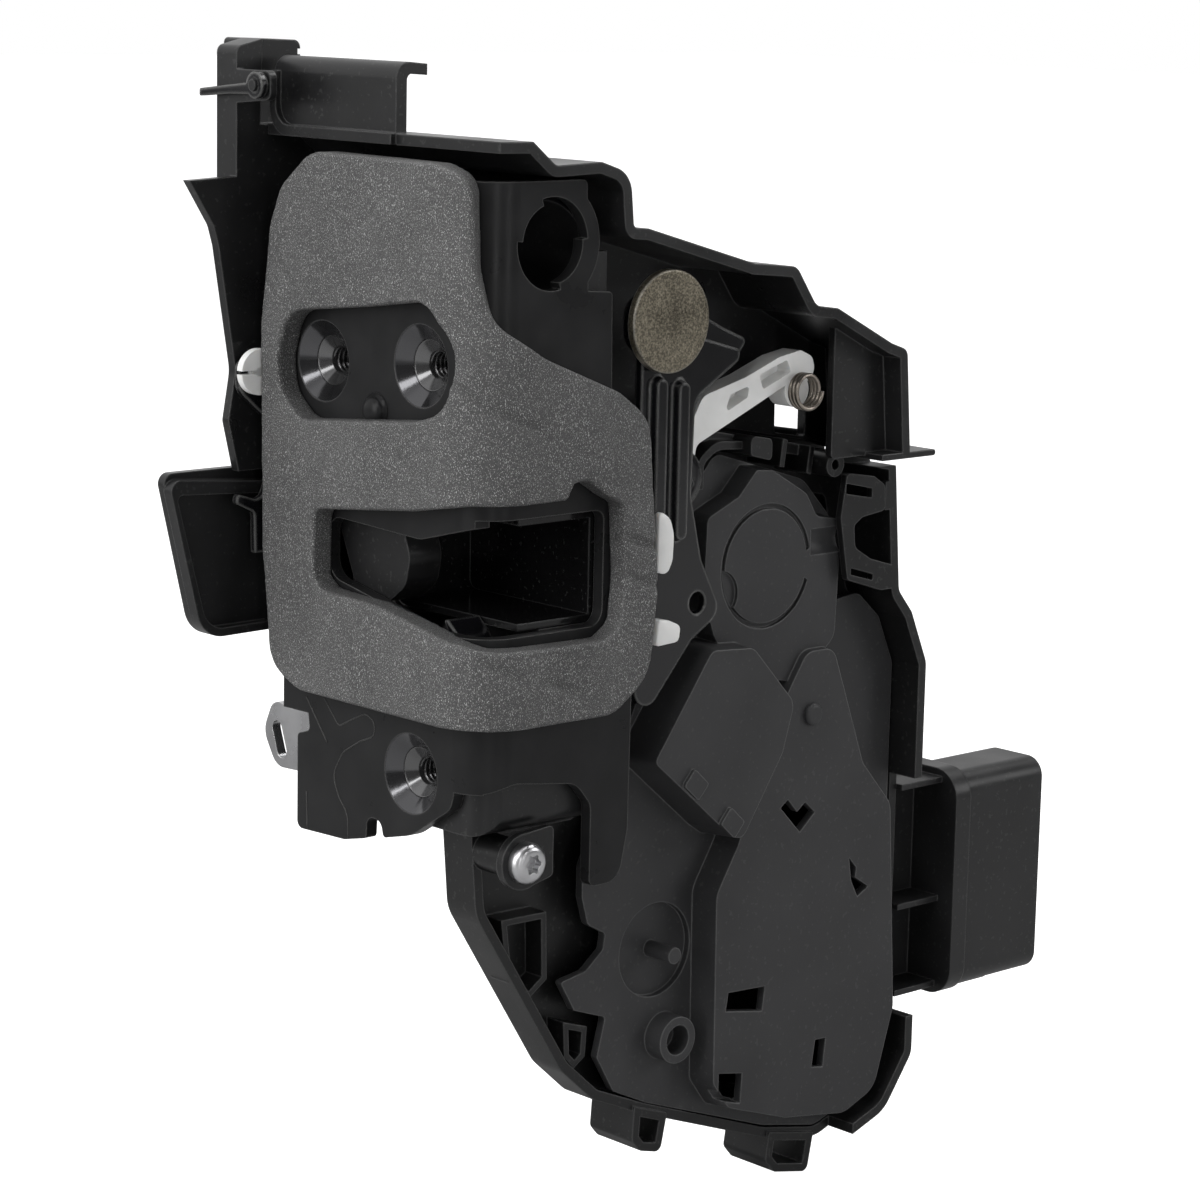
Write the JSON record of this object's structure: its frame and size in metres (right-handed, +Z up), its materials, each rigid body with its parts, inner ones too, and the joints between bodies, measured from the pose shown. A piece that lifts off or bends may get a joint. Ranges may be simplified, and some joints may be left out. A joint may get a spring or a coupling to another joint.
{
  "type": "door latch actuator",
  "caption": "Vehicle side door latch with fork bolt and pawl behind a foam-sealed steel face plate, joined to a flat power lock actuator with a side connector.",
  "frame": {"origin": "outer end of the thread in the lower fixing hole of the face plate", "axes": "+X into the door along the fixing screws, -Y towards the cabin, +Z up"},
  "size_m": [0.1809, 0.0775, 0.2233],
  "materials": {
    "black_steel": "satin black electrocoat",
    "foam": "fine open-cell foam skin",
    "steel": "plain",
    "housing_plastic": "fine texture",
    "cover_plastic": "fine texture",
    "gloss_plastic": "polished",
    "shield_plastic": "satin",
    "zinc_steel": "zinc plated",
    "spring_steel": "oiled",
    "coated_fork": "overmoulded",
    "olive_zinc": "olive passivated zinc",
    "white_nylon": "natural nylon",
    "copper": "stamped",
    "tinned_brass": "tinned"
  },
  "bodies": {
    "latch": {"face_plate": "black_steel", "fixing_bushes": "black_steel", "foam_seal": "foam", "fork_pivot": "steel", "pawl_pivot": "steel", "back_plate": "steel", "latch_housing": "housing_plastic", "throat_insert": "gloss_plastic", "linkage_bracket": "black_steel", "actuator_base": "housing_plastic", "tube_screw": "zinc_steel", "actuator_cover": "cover_plastic", "lock_motor": "steel", "lock_switches": "cover_plastic", "lead_frame": "copper", "connector_shroud": "housing_plastic", "connector_pins": "tinned_brass", "cover_rivet": "zinc_steel", "upper_shield": "shield_plastic", "side_wall": "shield_plastic", "outer_flap": "shield_plastic", "fork_spring": "spring_steel"},
    "fork": {"fork_bolt": "coated_fork"},
    "pawl": {"pawl": "steel"},
    "release": {"release_lever": "zinc_steel"},
    "outside": {"outside_release_lever": "black_steel", "inertia_disc": "olive_zinc"},
    "link": {"link_lever": "white_nylon", "toggle_spring": "spring_steel"},
    "lock": {"lock_lever": "white_nylon"},
    "wheel": {"worm_wheel": "white_nylon"},
    "worm": {"worm": "steel"},
    "outer": {"outer_lever": "black_steel"},
    "clip": {"rod_clip": "white_nylon"},
    "child": {"child_lock_lever": "black_steel"}
  },
  "joints": [
    {"name": "fork_hinge", "type": "hinge", "parent": "latch", "child": "fork", "pos_m": [0, 0.014, 0.054], "axis": [1, 0, 0], "range_deg": [0, 56], "stiffness_Nm_per_rad": 0.05, "springref_deg": -34.38, "deforming": ["fork_spring"]},
    {"name": "pawl_hinge", "type": "hinge", "parent": "latch", "child": "pawl", "pos_m": [0, 0.022, 0.015], "axis": [1, 0, 0], "range_deg": [-10, 0]},
    {"name": "release_hinge", "type": "hinge", "parent": "latch", "child": "release", "pos_m": [0, 0.022, 0.015], "axis": [1, 0, 0], "range_deg": [0, 16]},
    {"name": "outside_hinge", "type": "hinge", "parent": "latch", "child": "outside", "pos_m": [0.0387, -0.014, 0.0811], "axis": [0, 1, 0], "range_deg": [0, 12], "stiffness_Nm_per_rad": 0.03, "springref_deg": -28.65},
    {"name": "link_hinge", "type": "hinge", "parent": "latch", "child": "link", "pos_m": [0.047, -0.012, 0.051], "axis": [0, 1, 0], "range_deg": [0, 8], "stiffness_Nm_per_rad": 0.03, "springref_deg": -28.65},
    {"name": "lock_hinge", "type": "hinge", "parent": "latch", "child": "lock", "pos_m": [0.031, -0.013, 0.0325], "axis": [0, 1, 0], "range_deg": [0, 14]},
    {"name": "wheel_spin", "type": "hinge", "parent": "latch", "child": "wheel", "pos_m": [0.0722, -0.005, 0.0315], "axis": [0, 1, 0], "range_deg": [-40, 40]},
    {"name": "worm_spin", "type": "hinge", "parent": "latch", "child": "worm", "pos_m": [0.0817, -0.005, 0.02353], "axis": [0.6428, 0, 0.766], "range_deg": [-960, 960]},
    {"name": "outer_hinge", "type": "hinge", "parent": "latch", "child": "outer", "pos_m": [0.006, 0.0418, 0.058], "axis": [0, 1, 0], "range_deg": [0, 12]},
    {"name": "child_lock_hinge", "type": "hinge", "parent": "latch", "child": "child", "pos_m": [-0.0114, 0.0355, 0.1214], "axis": [1, 0, 0], "range_deg": [0, 15]},
    {"name": "clip_hinge", "type": "hinge", "parent": "outer", "child": "clip", "pos_m": [-0.0082, 0.041, 0.069], "axis": [0, 1, 0], "range_deg": [0, 90]}
  ],
  "couplings": [
    {"joint": "worm_spin", "follows": "wheel_spin", "ratio": 24}
  ]
}
